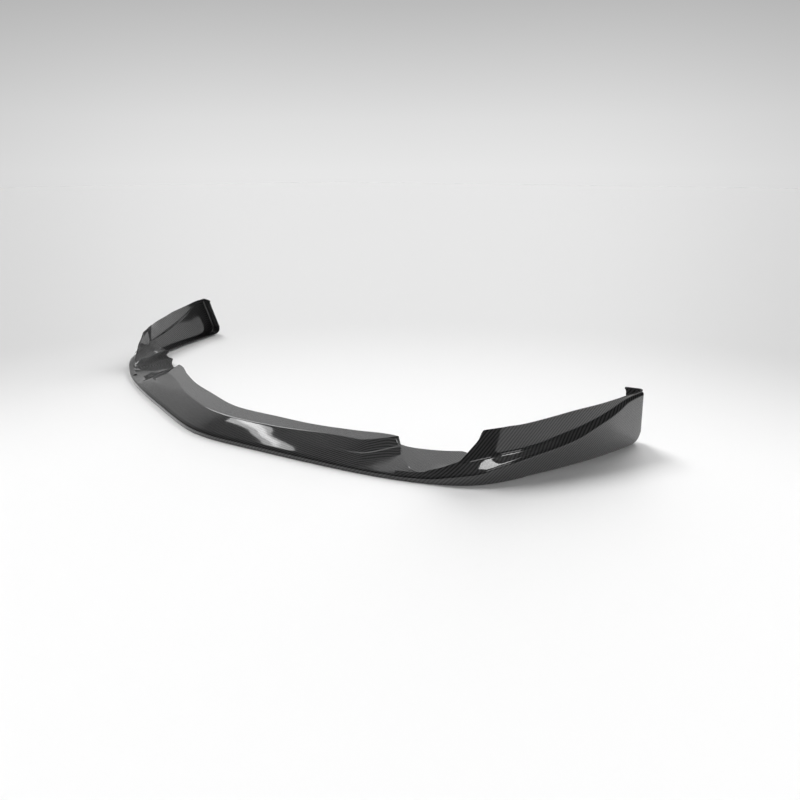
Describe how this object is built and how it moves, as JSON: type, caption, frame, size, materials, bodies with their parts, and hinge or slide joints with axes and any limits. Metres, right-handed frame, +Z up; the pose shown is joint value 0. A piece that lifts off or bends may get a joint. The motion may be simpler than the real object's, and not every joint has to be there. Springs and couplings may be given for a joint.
{
  "type": "front splitter lip",
  "caption": "One-piece gloss woven-carbon front splitter lip with a blade nose, a raised middle with a flat top flange, and tall wrap-around wings with turned-in rear ends.",
  "frame": {"origin": "middle of the bounding box, at the lowest edge", "axes": "+X across the car towards the near end in the picture, -Y forwards, +Z up"},
  "size_m": [1.8888, 0.7126, 0.1511],
  "materials": {
    "carbon": "dark 2x2 twill carbon weave under a gloss clear coat"
  },
  "bodies": {
    "root": {"front_lip": "carbon"}
  },
  "joints": []
}
